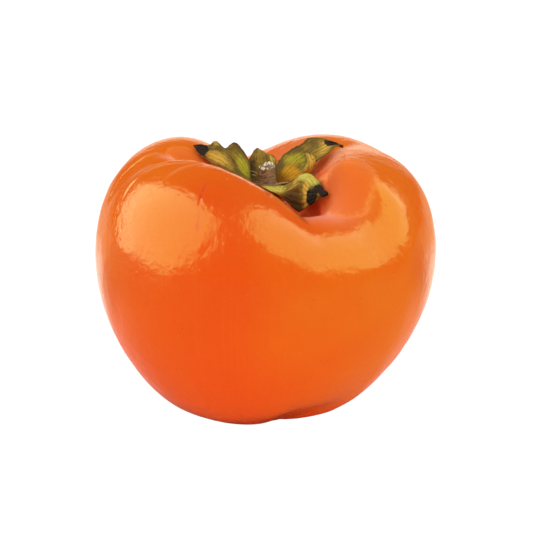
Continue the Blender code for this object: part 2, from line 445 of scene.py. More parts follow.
def buildFruit(finish):
    rings, segments = fruit["rings"], fruit["segments"]
    ts = (np.arange(rings) + 0.5) / rings
    t = np.concatenate([np.repeat(ts, segments), [0.0, 1.0]])
    azimuth = np.concatenate([np.tile(netAzimuths(), rings), [0.0, 0.0]])
    points, hollow = fruitForm(t, azimuth)
    middle = (points.min(axis=0) + points.max(axis=0)) / 2
    seat = np.array([middle[0], middle[1], fruit["flatLevel"]])
    faces = gridFaces(rings, segments, True)
    bottom, top = rings * segments, rings * segments + 1
    last = (rings - 1) * segments
    for c in range(segments):
        n = (c + 1) % segments
        faces.append((bottom, n, c))
        faces.append((last + c, last + n, top))
    placed = (points - seat) * mm + np.array([0.0, 0.0, fruitLow.z])
    piece = meshPiece("fruitSkin", placed, faces, finish)
    normals = np.empty(len(placed) * 3)
    piece.data.vertices.foreach_get("normal", normals)
    normals = normals.reshape(-1, 3)
    resting = smooth(points[:, 2], *(fruit["flatLevel"] + rise for rise in fruit["seatEase"]))
    relief, paintedHighlight, scar = foldRelief(t, azimuth, np.hypot(points[:, 0], points[:, 1]))
    height, scale, seed = fruit["lumps"]
    relief += height * grain(points, scale, seed)
    placed = placed + normals * (relief * resting * mm)[:, None]
    piece.data.vertices.foreach_set("co", placed.ravel())
    piece.data.update()
    angle = np.radians(azimuth)
    painted = {
        "furrow": furrowDepth(azimuth) * smooth(t, *fruit["furrowTint"]),
        "hollow": hollow,
        "basin": basin(points, fruit["basinReach"]),
        "foot": 1 - smooth(t, *fruit["footTint"]),
        "litTone": litTone(t, azimuth),
        "bloomAndPaintedLight": bloomAndPaintedLight(points),
        "worn": worn(points),
        "paintedHighlight": paintedHighlight,
        "scar": scar,
        # streaks follow the meridians, so along them this hardly changes
        "meridians": np.stack([np.sin(angle), np.cos(angle), 0.10 * t], axis=1),
    }
    for name, values in painted.items():
        addValues(piece, name, values)
    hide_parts("fruit")
    return piece, seat


skinLook = {
    "orange": (0.760, 0.078, 0.005, 1),
    "yellow": (0.775, 0.158, 0.006, 1),
    "red": (0.740, 0.046, 0.006, 1),
    "bloomAndPaintedLight": (0.95, 0.330, 0.200, 1),
    "litCoral": (0.960, 0.135, 0.030, 1),
    "highlightPale": (0.85, 0.300, 0.100, 1),
    "hollowShadeRed": (0.50, 0.026, 0.008, 1),
    "worn": (0.77, 0.100, 0.004, 1),
    "fleck": (0.88, 0.22, 0.03, 1),
    "pit": (0.70, 0.030, 0.022, 1),
    "gloss": (0.35, 1.0, 0.33, 1),       # the wax reflects a little warm
    # scales of the noise, in waves a metre, and of the dots, with their size as a share of the spacing
    "patches": 28.0,
    "peel": 640.0,
    "streaks": 46.0,
    "combing": 110.0,
    "grain": 2100.0,
    "bloomGrain": 1300.0,
    "wear": 900.0,
    "pits": (330.0, 0.10),
    "pitGroups": 190.0,
    "flecks": (900.0, 0.22),
    "roughness": 0.11,
    "wornRoughness": 0.75,
    "hollowRoughness": 0.35,
    "fleshShare": 0.12,                  # how much light passes through the flesh under the skin
    "fleshReach": 0.004,
    "fleshColours": (1.0, 0.35, 0.12),
    "combDepth": 0.00003,
    "peelDepth": 0.00013,
    "grainDepth": 0.00002,
}


def skinFinish():
    skin = Finish("persimmonSkin", IOR=1.45, Specular_Tint=skinLook["gloss"],
                  Subsurface_Weight=skinLook["fleshShare"], Subsurface_Scale=skinLook["fleshReach"],
                  Subsurface_Radius=skinLook["fleshColours"])
    point = skin.place()
    patches = skin.noise(point, skinLook["patches"], 3.0)
    peel = skin.noise(point, skinLook["peel"], 2.0, 0.4)
    meridians = skin.painted("meridians", "Vector")
    streaks = skin.noise(meridians, skinLook["streaks"], 3.0, 0.3)
    combed = skin.noise(meridians, skinLook["combing"])
    fine = skin.noise(skin.place((1, 1, 0.5)), skinLook["grain"], 1.0)
    # random tone, plus painted light on the flanks and the top and painted shade in the front valley
    warm = (patches - 0.5) * 1.3 + skin.painted("litTone")
    bloomAndLightShare = skin.painted("bloomAndPaintedLight") * (0.55 + skin.noise(point, skinLook["bloomGrain"]) * 0.9)
    hollow = skin.painted("hollow")
    inside = hollow.step(0.05, 0.7)
    groups = skin.noise(point, skinLook["pitGroups"], 0.0).step(0.60, 0.66)
    pits = skin.dots(point, *skinLook["pits"]) * groups
    wear = skin.noise(point, skinLook["wear"], 3.0)
    matt = (skin.painted("worn") + (wear - 0.5) * 0.8).step(0.2, 0.75)
    colour = skin.layered(skinLook["orange"], skinLook, [
        ("yellow", warm.step(-0.1, 1.0)),
        ("yellow", streaks.step(0.45, 0.75) * 0.07),
        ("red", (1 - patches).step(0.5, 0.8) * 0.4),
        # lighter coral in the furrows, the basin and the hollow: partly a redder tone of the skin,
        # partly painted light that lifts their shade
        ("litCoral", skin.painted("furrow").step(0.4, 1.1) * 0.6),
        # waxy bloom, and painted light in two of its patches: a sheen on the saddle and a lift of the
        # hollow wall's shade
        ("bloomAndPaintedLight", bloomAndLightShare),
        ("litCoral", skin.painted("basin") * 0.7),
        ("litCoral", inside * 0.7),
        # painted shade: darker red deep in the hollow
        ("hollowShadeRed", hollow.step(0.72, 0.84) * 0.9),
        ("red", skin.painted("foot") * 0.6),
        # painted highlight along the pleats' crests and a painted sheen at the back of the bowl
        ("highlightPale", skin.painted("paintedHighlight") * 0.45),
        ("pit", skin.painted("scar") * peel.step(0.30, 0.5) * 0.85),
        ("fleck", skin.dots(point, *skinLook["flecks"]) * 0.10),
        ("pit", pits * 0.3),
        ("worn", matt * 0.8),
    ])
    normal = skin.bump(combed, skinLook["combDepth"])
    normal = skin.bump(peel - pits * 0.5, skinLook["peelDepth"], normal)
    normal = skin.bump(fine, skinLook["grainDepth"], normal)
    roughness = skinLook["roughness"] + patches * 0.05 + streaks * 0.03
    roughness += matt * skinLook["wornRoughness"] + inside * skinLook["hollowRoughness"]
    skin.finishWith(Base_Color=colour, Roughness=roughness, Normal=normal)
    return skin


# four dried sepals on a small disc
calyx = {
    "rows": 110,
    "columns": 61,
    "thickness": 0.42,
    "thinEdge": (0.6, 1.0, 0.5),      # from here to the margin it gets thinner, by that share
    "clear": 0.18,                    # kept between the leaf and the fruit, in mm
    "ragged": (0.97, 0.05),           # the margins' place and how uneven it is, as shares of the width
    "crumple": (0.16, 0.9),           # height in mm and scale
    "veins": (0.05, 24),              # height in mm and how many waves across
    "discBottom": 58.35,
    "discThickness": 1.0,
    "discRadius": 6.0,
    "discRings": 14,
    "discSegments": 72,
    "discWave": (0.08, 9),            # height in mm and how many waves round
    "discFall": 0.5,                  # how far its edge curls down
}
# Each sepal hangs on three rails, in mm about the stem's axis from its root to its tip: left margin,
# midrib and right margin as seen from the stem, with a belly between them. A stain is a kind, its
# place along (0 to 1) and across (-1 to 1) the sepal, its reaches and its strength.
sepals = {
    "front": {
        "left": [(4.0, -1.5, 59.6), (5.6, -4.0, 60.2), (6.8, -5.5, 61.7), (8.2, -6.5, 63.3),
                 (10.1, -7.2, 63.8), (12.4, -9.0, 62.6), (13.2, -11.0, 61.2), (14.3, -13.3, 60.4)],
        "middle": [(1.2, -3.0, 59.7), (2.4, -6.0, 59.6), (3.9, -8.8, 60.0), (5.7, -9.8, 60.8),
                   (8.1, -10.6, 62.3), (9.8, -11.4, 61.0), (11.6, -12.2, 60.8), (14.3, -13.3, 60.4)],
        "right": [(-1.5, -3.5, 59.8), (0.7, -6.5, 59.5), (2.7, -9.0, 59.2), (5.2, -11.5, 57.7),
                  (7.3, -12.3, 55.9), (9.9, -12.6, 57.2), (12.2, -12.8, 58.9), (14.3, -13.3, 60.4)],
        "belly": (0.5, 0.35),
        # the light stains are partly painted light on the lit far half and the strip by the root, the
        # dark one partly painted shade on the hanging near half
        "stains": [("light", 0.16, 0.3, 0.17, 0.8, 1.2), ("tan", 0.44, 0.02, 0.1, 0.08, 0.8),
                   ("brown", 0.47, 0.45, 0.13, 0.45, 1.1), ("darkAndShaded", 0.5, 0.9, 0.16, 0.4, 1.3),
                   ("tan", 0.665, 0.6, 0.045, 0.55, 0.75), ("gold", 0.62, 0.8, 0.05, 0.3, 0.4),
                   ("light", 0.6, -0.6, 0.18, 0.5, 1.1), ("tan", 0.47, -0.35, 0.05, 0.35, 0.8),
                   ("tan", 0.66, 0.0, 0.06, 0.3, 0.9), ("char", 0.765, 0.47, 0.080, 0.5, 1.7),
                   ("char", 0.895, -0.56, 0.125, 0.48, 1.7), ("char", 0.985, 0.1, 0.085, 1.2, 1.7),
                   ("rust", 0.87, 0.15, 0.04, 0.6, 1.0)],
    },
    "right": {
        "left": [(2.4, 3.5, 59.6), (2.2, 5.0, 62.5), (3.5, 6.5, 64.8), (5.7, 7.5, 66.3),
                 (8.3, 8.0, 67.6), (10.4, 8.0, 69.2), (13.5, 6.5, 69.5), (16.8, 4.0, 68.7),
                 (18.2, 3.0, 68.1)],
        "middle": [(2.9, 2.0, 59.3), (4.1, 2.0, 61.8), (6.2, 2.5, 64.0), (8.2, 3.0, 65.8),
                   (10.6, 3.5, 67.1), (12.7, 4.0, 68.3), (15.0, 3.7, 69.1), (16.8, 3.2, 68.7),
                   (18.2, 3.0, 68.1)],
        "right": [(4.3, 0.0, 59.5), (6.9, -1.5, 61.0), (8.9, -2.5, 62.4), (10.4, -2.6, 63.4),
                  (11.2, -2.0, 65.1), (13.1, -1.0, 66.3), (14.9, 0.5, 67.2), (16.8, 2.5, 68.4),
                  (18.2, 3.0, 68.1)],
        "belly": (-0.5, -0.4),
        "stains": [("rust", 0.02, 0.1, 0.1, 1.4, 1.1), ("gold", 0.15, 0.45, 0.12, 0.75, 1.1),
                   ("green", 0.3, -0.3, 0.13, 0.55, 0.8), ("green", 0.38, 0.4, 0.08, 0.4, 0.4),
                   ("tan", 0.7, 0.4, 0.16, 0.6, 0.75), ("brown", 0.4, -1.0, 0.16, 0.12, 1.2),
                   ("brown", 0.55, 0.0, 0.1, 0.9, 0.35), ("char", 0.79, 0.0, 0.095, 0.42, 1.6),
                   ("char", 0.99, 0.0, 0.06, 2.0, 1.5)],
    },
    "back": {
        "left": [(-4.8, 2.0, 59.5), (-4.9, 4.2, 61.9), (-4.5, 6.0, 63.7), (-3.4, 7.8, 64.6),
                 (-3.8, 10.0, 63.8), (-4.0, 12.6, 62.6), (-3.6, 15.0, 61.6)],
        "middle": [(-0.9, 3.0, 59.8), (-1.1, 4.5, 62.5), (-1.4, 6.2, 64.7), (-1.8, 8.2, 66.1),
                   (-2.4, 10.8, 65.6), (-3.0, 13.0, 64.0), (-3.6, 15.0, 61.6)],
        "right": [(2.0, 3.0, 59.7), (2.4, 4.5, 62.0), (2.5, 6.0, 63.8), (1.9, 7.6, 64.7),
                  (0.6, 9.8, 64.2), (-1.4, 12.4, 63.0), (-3.6, 15.0, 61.6)],
        "belly": (0.1, -0.3),
        # the dark stain at the left base is partly painted shadow behind the stem
        "stains": [("darkAndShaded", 0.16, -0.75, 0.2, 0.45, 1.0), ("brown", 0.45, -1.0, 0.3, 0.12, 0.9),
                   ("brown", 0.3, -0.5, 0.12, 0.3, 0.6), ("brown", 0.47, 0.9, 0.12, 0.2, 0.6),
                   ("tan", 0.45, 0.0, 0.15, 0.35, 0.35), ("tan", 0.38, 0.75, 0.16, 0.25, 0.8),
                   ("char", 0.99, 0.0, 0.1, 2.0, 1.3)],
    },
    "left": {
        "left": [(-3.4, -1.5, 59.9), (-6.0, -3.0, 61.8), (-9.1, -3.0, 63.3), (-11.4, -2.0, 64.5),
                 (-13.6, -0.6, 65.1), (-14.6, 0.8, 65.9), (-16.2, 2.1, 66.7), (-17.4, 3.6, 68.2)],
        "middle": [(-3.3, 0.5, 59.7), (-5.8, 0.5, 62.2), (-8.1, 1.0, 65.2), (-9.7, 1.5, 67.0),
                   (-11.7, 2.0, 68.1), (-13.8, 2.6, 67.4), (-15.9, 3.1, 67.8), (-17.4, 3.6, 68.2)],
        "right": [(-3.7, 3.0, 59.9), (-4.3, 4.5, 64.4), (-7.4, 6.2, 68.5), (-9.9, 6.0, 67.0),
                  (-12.1, 5.5, 68.9), (-13.9, 4.6, 68.2), (-15.8, 3.9, 68.5), (-17.4, 3.6, 68.2)],
        "belly": (0.3, -0.6),
        "stains": [("tan", 0.5, -0.6, 0.2, 0.4, 0.85), ("gold", 0.6, -0.75, 0.1, 0.35, 0.5),
                   ("tan", 0.58, 0.8, 0.07, 0.3, 0.7), ("green", 0.14, 0.35, 0.09, 0.5, 1.3),
                   ("brown", 0.23, 0.97, 0.1, 0.16, 1.1), ("brown", 0.43, 0.97, 0.06, 0.12, 0.8),
                   ("brown", 0.3, -0.1, 0.18, 0.1, 0.7), ("char", 0.72, -0.25, 0.030, 0.12, 1.0),
                   ("char", 0.66, 0.05, 0.020, 0.1, 0.9), ("char", 0.6, 0.3, 0.015, 0.1, 0.9),
                   ("char", 0.58, -0.2, 0.020, 0.06, 0.8), ("char", 0.95, 0.0, 0.24, 2.0, 1.5)],
    },
    "flap": {
        "left": [(8.5, -3.7, 62.9), (8.9, -4.1, 64.5), (9.8, -3.9, 66.1), (9.2, -3.1, 67.9)],
        "middle": [(9.2, -4.0, 63.0), (10.2, -4.3, 64.6), (10.7, -4.1, 66.0), (10.2, -3.1, 67.4)],
        "right": [(10.0, -3.4, 63.1), (11.2, -3.2, 64.8), (11.4, -2.8, 66.4), (10.9, -2.3, 67.1)],
        "belly": (0.15, 0.1),
        "stains": [("tan", 0.5, 0.0, 1.0, 2.0, 0.8), ("light", 0.7, -0.9, 0.5, 0.25, 1.1),
                   ("gold", 0.2, 0.2, 0.2, 0.5, 0.6)],
    },
}
# on the front and back sepals the light and dark kinds are partly painted light and painted shade,
# besides the leaves' own colour
stainKinds = ("light", "green", "tan", "gold", "rust", "brown", "darkAndShaded", "char")


def through(points, place):
    # a smooth curve through the points, whose first axis is the one walked, place from 0 to 1
    points = np.asarray(points, float)
    padded = np.concatenate([[2 * points[0] - points[1]], points, [2 * points[-1] - points[-2]]])
    spans = len(points) - 1
    at = np.clip(place, 0.0, 1.0) * spans
    span = np.minimum(at.astype(int), spans - 1)
    f = (at - span).reshape((-1,) + (1,) * (points.ndim - 1))
    a, b, c, d = (padded[span + i] for i in range(4))
    total = 2 * b + (c - a) * f + (2 * a - 5 * b + 4 * c - d) * f**2
    return (total + (3 * b - a - 3 * c + d) * f**3) / 2


def sheetNormals(sheet):
    return unit(np.cross(np.gradient(sheet, axis=1), np.gradient(sheet, axis=0)))


def sepalSheet(sepal, s, q, seed):
    # the middle sheet of a sepal on a net of s by q
    left, middle, right = (through(sepal[rail], s) for rail in ("left", "middle", "right"))
    along = np.gradient(middle, axis=0)
    fade = (np.sin(math.pi * np.clip(s, 0, 1)) ** 0.6)[:, None]
    ribs = [left]
    for a, b, belly in zip((left, middle), (middle, right), sepal["belly"]):
        over = unit(np.cross(b - a + 1e-6, along))   # the rails meet at the tip
        ribs += [(a + b) / 2 + over * fade * belly, b]
    ribs = np.stack(ribs)
    edge = np.stack([s * 9.0, np.full_like(s, seed), np.zeros_like(s)], axis=1)
    margin, ragged = calyx["ragged"]
    trims = [margin + ragged * grain(edge, 1.0, start) for start in (seed, seed + 5.0)]
    sheet = np.empty((len(s), len(q), 3))
    for row, (trimLeft, trimRight) in enumerate(zip(*trims)):
        sheet[row] = through(ribs[:, row], (q * np.where(q < 0, trimLeft, trimRight) + 1) / 2)
    return sheet


def keptClear(points, surface, clearance):
    # points in metres, pushed out of the fruit to at least the clearance
    for i, p in enumerate(points):
        place = Vector(p)
        nearest, normal, _, _ = surface.find_nearest(place)
        height = (place - nearest).dot(normal)
        if height < clearance:
            points[i] = place + normal * (clearance - height)
    return points


def buildSepal(name, sepal, surface, seat, finish, seed):
    rows, columns = calyx["rows"], calyx["columns"]
    s = np.linspace(0.0, 1.0, rows)
    q = np.linspace(-1.0, 1.0, columns)
    sheet = sepalSheet(sepal, s, q, seed)
    flatS, flatQ = (g.ravel() for g in np.meshgrid(s, q, indexing="ij"))
    points = sheet.reshape(-1, 3)
    normals = sheetNormals(sheet).reshape(-1, 3)
    height, waves = calyx["veins"]
    veins = height * np.sin(waves * flatQ + 2.5 * np.sin(4 * flatS + seed)) * smooth(flatS, 0.05, 0.3)
    height, scale = calyx["crumple"]
    crumple = height * grain(points, scale, seed) * smooth(flatS, 0.02, 0.25)
    points = points + normals * (veins + crumple)[:, None]
    placed = keptClear((points - seat) * mm, surface, (calyx["clear"] + calyx["thickness"] / 2) * mm)
    normals = sheetNormals(placed.reshape(sheet.shape)).reshape(-1, 3)
    start, end, share = calyx["thinEdge"]
    thin = calyx["thickness"] * (1 - share * smooth(np.abs(flatQ), start, end)) * mm / 2
    upper = placed + normals * thin[:, None]
    lower = placed - normals * thin[:, None]
    count = rows * columns
    face = gridFaces(rows, columns, False)
    faces = face + [tuple(count + v for v in reversed(f)) for f in face]
    # the margin is closed all the way round
    net = np.arange(count).reshape(rows, columns)
    rim = np.concatenate([net[0], net[1:, -1], net[-1, -2::-1], net[-2:0:-1, 0]]).tolist()
    for a, b in zip(rim, rim[1:] + rim[:1]):
        faces.append((b, a, count + a, count + b))
    both = np.vstack([upper, lower])
    piece = meshPiece("sepal" + name.capitalize(), both, faces, finish)
    addValues(piece, "across", np.tile(flatQ, 2))
    addValues(piece, "under", np.repeat([0.0, 1.0], count))
    for kind in stainKinds:
        total = np.zeros(count)
        for stain, atS, atQ, reachS, reachQ, strength in sepal["stains"]:
            if stain == kind:
                total += strength * hump(flatS, atS, reachS) * hump(flatQ, atQ, reachQ)
        addValues(piece, kind, np.tile(total, 2))


def buildDisc(seat, surface, finish):
    rings, segments, rim = calyx["discRings"], calyx["discSegments"], calyx["discRadius"]
    height, waves = calyx["discWave"]
    upper, lower = [], []
    for radius in rim * np.linspace(0.02, 1.0, rings):
        for angle in np.arange(segments) * 2 * math.pi / segments:
            x, y = radius * math.cos(angle), radius * math.sin(angle)
            wave = height * math.sin(waves * angle + radius) * radius / rim
            fall = calyx["discFall"] * (radius / rim) ** 4
            upper.append((x, y, calyx["discBottom"] + calyx["discThickness"] + wave - fall))
            lower.append((x, y, calyx["discBottom"] + 0.1))
    points = keptClear((np.array(upper + lower) - seat) * mm, surface, calyx["clear"] * mm)
    count = rings * segments
    face = gridFaces(rings, segments, True)
    faces = [tuple(reversed(f)) for f in face] + [tuple(count + v for v in f) for f in face]
    outer = (rings - 1) * segments
    for c in range(segments):
        n = (c + 1) % segments
        faces.append((outer + c, count + outer + c, count + outer + n, outer + n))
    faces.append(tuple(range(segments)))
    faces.append(tuple(count + c for c in reversed(range(segments))))
    piece = meshPiece("calyxDisc", points, faces, finish)
    for name in ("across", "under") + stainKinds:   # no stains on it
        addValues(piece, name, np.zeros(2 * count))
    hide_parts("calyx")


leafLook = {
    "olive": (0.300, 0.190, 0.014, 1),
    "oliveDeep": (0.130, 0.082, 0.011, 1),
    # light and dark are partly painted light and painted shade on the front and back sepals
    "light": (0.600, 0.535, 0.085, 1),
    "green": (0.425, 0.380, 0.014, 1),
    "tan": (0.640, 0.390, 0.050, 1),
    "gold": (0.610, 0.300, 0.004, 1),
    "rust": (0.370, 0.150, 0.005, 1),
    "brown": (0.105, 0.048, 0.006, 1),
    "darkAndShaded": (0.048, 0.025, 0.004, 1),
    "char": (0.012, 0.009, 0.009, 1),
    "vein": (0.055, 0.028, 0.004, 1),
    "underside": (0.300, 0.220, 0.050, 1),
    "clouds": 330.0,         # scales, as for the skin
    "fibres": 1500.0,
    "specks": (1100.0, 0.30),
    "veinWaves": 30.0,
    "roughness": 0.62,
    "cloudDepth": 0.00015,
    "fibreDepth": 0.00007,
}


def leafFinish():
    leaf = Finish("driedSepal", Specular_IOR_Level=0.08)
    point = leaf.place()
    cloud = leaf.noise(point, leafLook["clouds"], 3.0)
    fibre = leaf.noise(point, leafLook["fibres"], 3.0)
    across = leaf.painted("across")
    lines = (across * leafLook["veinWaves"] + cloud * 7.0).sine().step(0.3, 1.0)
    edge = abs(across).step(0.90, 1.0)
    burnt = (leaf.painted("char") + (cloud - 0.5) * 0.5 + (fibre - 0.5) * 0.5).step(0.50, 0.62)
    layers = [("olive", cloud.step(0.35, 0.65))]
    for kind in stainKinds[:-1]:
        share = leaf.painted(kind) + (fibre - 0.5) * 0.5 + (cloud - 0.5) * 0.4
        layers.append((kind, share.step(0.15, 0.85)))
    layers += [
        ("vein", lines * (0.15 + fibre * 0.55)),
        ("vein", edge * cloud.step(0.42, 0.58) * 0.75),
        ("underside", leaf.painted("under") * 0.5),
        ("vein", leaf.dots(point, *leafLook["specks"]) * cloud.step(0.5, 0.6) * 0.7),
        ("char", burnt),
    ]
    colour = leaf.layered(leafLook["oliveDeep"], leafLook, layers)
    normal = leaf.bump(cloud, leafLook["cloudDepth"])
    normal = leaf.bump(fibre - lines * 0.5, leafLook["fibreDepth"], normal)
    roughness = leafLook["roughness"] - burnt * 0.2 + fibre * 0.1
    leaf.finishWith(Base_Color=colour, Roughness=roughness, Normal=normal)
    return leaf


# pale threads left at the foot of the stem, over the base of the right sepal
fibres = {
    "colour": (0.60, 0.50, 0.30, 1),
    "steps": 14,
    "taper": 0.6,
    "wander": 0.12,   # to the sides, in mm
    "shake": 0.03,
    # start, end, how far it bows up and its thickness, in mm
    "threads": [
        ((2.2, -1.3, 60.1), (6.4, -2.2, 60.5), 0.10, 0.06),
        ((2.3, -1.7, 60.0), (5.6, -3.0, 60.6), 0.16, 0.05),
        ((2.0, -1.9, 59.9), (4.6, -2.6, 60.5), 0.05, 0.05),
        ((5.5, -2.4, 60.4), (6.1, -2.8, 61.6), 0.00, 0.06),
        ((-2.2, 0.6, 62.0), (-3.9, 1.4, 62.6), 0.10, 0.07),
        ((-2.6, 0.2, 61.6), (-3.6, 0.8, 61.7), 0.05, 0.06),
    ],
}


def addRod(points, faces, rings):
    # a closed four-sided rod through rings of four corners each
    start = len(points)
    for ring in rings:
        points += ring
    for k in range(len(rings) - 1):
        for i in range(4):
            a, b = start + 4 * k + i, start + 4 * k + (i + 1) % 4
            faces.append((a, b, b + 4, a + 4))
    last = start + 4 * (len(rings) - 1)
    faces.append((start + 3, start + 2, start + 1, start))
    faces.append((last, last + 1, last + 2, last + 3))


def buildFibres(seat):
    finish = Finish("paleFibre", Base_Color=fibres["colour"], Roughness=0.7, Specular_IOR_Level=0.1)
    draw = random.Random(4)
    up = Vector((0, 0, 1))
    points, faces = [], []
    for start, end, rise, thick in fibres["threads"]:
        start, end = Vector(start), Vector(end)
        side = (end - start).cross(up).normalized()
        rings = []
        for k in range(fibres["steps"]):
            along = k / (fibres["steps"] - 1)
            centre = start.lerp(end, along) + up * (rise * math.sin(math.pi * along))
            centre += side * fibres["wander"] * math.sin(5 * along + thick * 90)
            centre += up * (fibres["shake"] * draw.uniform(-1, 1))
            reach = thick * (1 - fibres["taper"] * along)
            rings.append([centre + way * reach for way in (side, up, -side, -up)])
        addRod(points, faces, rings)
    placed = (np.array([tuple(p) for p in points]) - seat) * mm
    meshPiece("fibres", placed, faces, finish)


# a broken stub with chips of wood standing from the back of its torn end
stem = {
    "radii": (2.15, 1.9),
    "centres": (0.30, 0.12),
    "bottom": 59.6,
    "top": 63.9,
    "flare": (2.0, 0.13),      # it widens at its foot: how steeply, and up to this share of its height
    "rimRise": (0.32, 0.8),    # the end is higher at the back right: mm and direction
    "rimWave": 0.12,
    "rimRough": 0.30,
    "ringRough": 0.10,
    "grooves": 0.06,
    "bowl": 0.35,
    "bowlRough": 0.45,
    "segments": 120,
    "rings": 90,
    "inner": 16,
    "tornRim": (0.975, 0.25),  # pale wood shows from this height up, this strongly
    "tornInside": 0.04,
    "litSide": 0.5,           # where the bark is painted paler, as painted light on its lit side: direction, to the front right
    # tall ones at the back right, with angles in a bell curve, then short ones round the left
    "splinters": [
        {"count": 22, "bell": True, "angle": (1.25, 0.40), "radius": (0.45, 0.96), "below": 0.25,
         "width": (0.16, 0.42), "tall": (0.45, 1.25)},
        {"count": 14, "bell": False, "angle": (2.3, 4.9), "radius": (0.86, 0.96), "below": 0.60,
         "width": (0.07, 0.18), "tall": (0.55, 0.85)},
    ],
    "splinterThick": (0.05, 0.12),
    "splinterLean": (-0.30, 0.15),
    "splinterLevels": 5,
    "splinterTaper": 0.85,
    "splinterShake": 0.14,
}


def buildStem(seat, finish):
    segments, rings, inner = stem["segments"], stem["rings"], stem["inner"]
    (low, high), (first, end) = stem["radii"], stem["centres"]
    points, torn, litShare = [], [], []
    for r in range(rings + inner):
        up = min(r / (rings - 1), 1.0)
        inward = max(r - rings + 1, 0) / inner
        for c in range(segments):
            angle = 2 * math.pi * c / segments
            x, y = math.cos(angle), math.sin(angle)
            rim = stem["rimRise"][0] * math.cos(angle - stem["rimRise"][1])
            rim += stem["rimWave"] * math.sin(7 * angle + 1.3)
            rim += stem["rimRough"] * rough((4 * x, 4 * y, 0))
            z = stem["bottom"] + up * (stem["top"] - stem["bottom"] + rim)
            radius = low + (high - low) * up + stem["flare"][0] * max(stem["flare"][1] - up, 0.0)
            ring = rough((1.3 * x, 1.3 * y, 1.9 * z + 0.6 * math.sin(2 * angle)), 3, 0.8)
            grooves = rough((5.0 * x, 5.0 * y, 0.7 * z), 2, 0.8)
            radius += (stem["ringRough"] * ring + stem["grooves"] * grooves) * (1 - inward)
            radius *= 1 - inward * 0.985
            if inward > 0:
                z -= stem["bowl"] * smooth(inward, 0.02, 0.4) * (0.65 - 0.35 * math.sin(angle - 0.3))
                z += stem["bowlRough"] * rough((1.8 * radius * x, 1.8 * radius * y, 4.0))
            points.append((radius * x + first + (end - first) * up, radius * y, z))
            start, share = stem["tornRim"]
            torn.append(stem["tornInside"] if inward > 0.1 else share * smooth(up, start, 1.0))
            # painted light: paler bark towards the lit front right
            litShare.append(smooth(math.cos(angle + stem["litSide"]), 0.0, 0.9))
    faces = gridFaces(rings + inner, segments, True)
    last = (rings + inner - 1) * segments
    faces.append(tuple(last + c for c in range(segments)))
    faces.append(tuple(reversed(range(segments))))
    addSplinters(points, faces)
    chips = len(points) - len(torn)
    piece = meshPiece("stemStub", (np.array(points) - seat) * mm, faces, finish)
    addValues(piece, "torn", torn + [1.0] * chips)
    # on the stem, worn holds that painted light on the lit side
    addValues(piece, "worn", litShare + [0.0] * chips)
    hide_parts("stem")


def addSplinters(points, faces):
    # flat tapered chips round the torn rim
    draw = random.Random(11)
    levels = stem["splinterLevels"]
    for kind in stem["splinters"]:
        for _ in range(kind["count"]):
            angle = draw.gauss(*kind["angle"]) if kind["bell"] else draw.uniform(*kind["angle"])
            radius = stem["radii"][1] * draw.uniform(*kind["radius"])
            outward = Vector((math.cos(angle), math.sin(angle), 0))
            around = Vector((-outward.y, outward.x, 0))
            middle = outward * radius + Vector((stem["centres"][1], 0, stem["top"] - kind["below"]))
            width = draw.uniform(*kind["width"])
            thick = draw.uniform(*stem["splinterThick"])
            tall = draw.uniform(*kind["tall"])
            lean = draw.uniform(*stem["splinterLean"])
            rings = []
            for k in range(levels):
                up = k / (levels - 1)
                centre = middle + outward * (lean * up * up) + Vector((0, 0, tall * up))
                narrow = 1 - stem["splinterTaper"] * up * up
                ring = []
                for a, b in ((-1, -1), (1, -1), (1, 1), (-1, 1)):
                    corner = centre + around * (a * width * narrow) + outward * (b * thick * narrow)
                    shake = stem["splinterShake"] * draw.uniform(-1, 1) * up
                    ring.append(tuple(corner + Vector((0, 0, shake))))
                rings.append(ring)
            addRod(points, faces, rings)


stemLook = {
    "bark": (0.235, 0.128, 0.053, 1),
    "barkDark": (0.075, 0.036, 0.016, 1),
    "barkLight": (0.42, 0.27, 0.14, 1),
    "wood": (1.0, 0.95, 0.76, 1),
    "woodDark": (0.86, 0.76, 0.54, 1),
    "bands": 620.0,
    "fine": 2600.0,
    "roughness": 0.75,
    "bandDepth": 0.00015,
    "grainDepth": 0.00004,
}


def barkFinish():
    bark = Finish("stemBark", Specular_IOR_Level=0.2)
    bands = bark.noise(bark.place((1, 1, 2.4)), stemLook["bands"], 3.0, 1.0)
    fine = bark.noise(bark.place(), stemLook["fine"])
    wood = bark.blend(fine.step(0.35, 0.6), stemLook["woodDark"], stemLook["wood"])
    colour = bark.layered(stemLook["barkDark"], stemLook, [
        ("bark", bands.step(0.35, 0.65)),
        ("barkLight", fine.step(0.5, 0.8) * 0.7),
        # painted light: paler bark on the lit front right side
        ("barkLight", bark.painted("worn") * (0.2 + fine * 0.6)),
    ])
    colour = bark.blend(bark.painted("torn"), colour, wood)
    normal = bark.bump(bands, stemLook["bandDepth"])
    normal = bark.bump(fine, stemLook["grainDepth"], normal)
    bark.finishWith(Base_Color=colour, Roughness=stemLook["roughness"] + fine * 0.15, Normal=normal)
    return bark


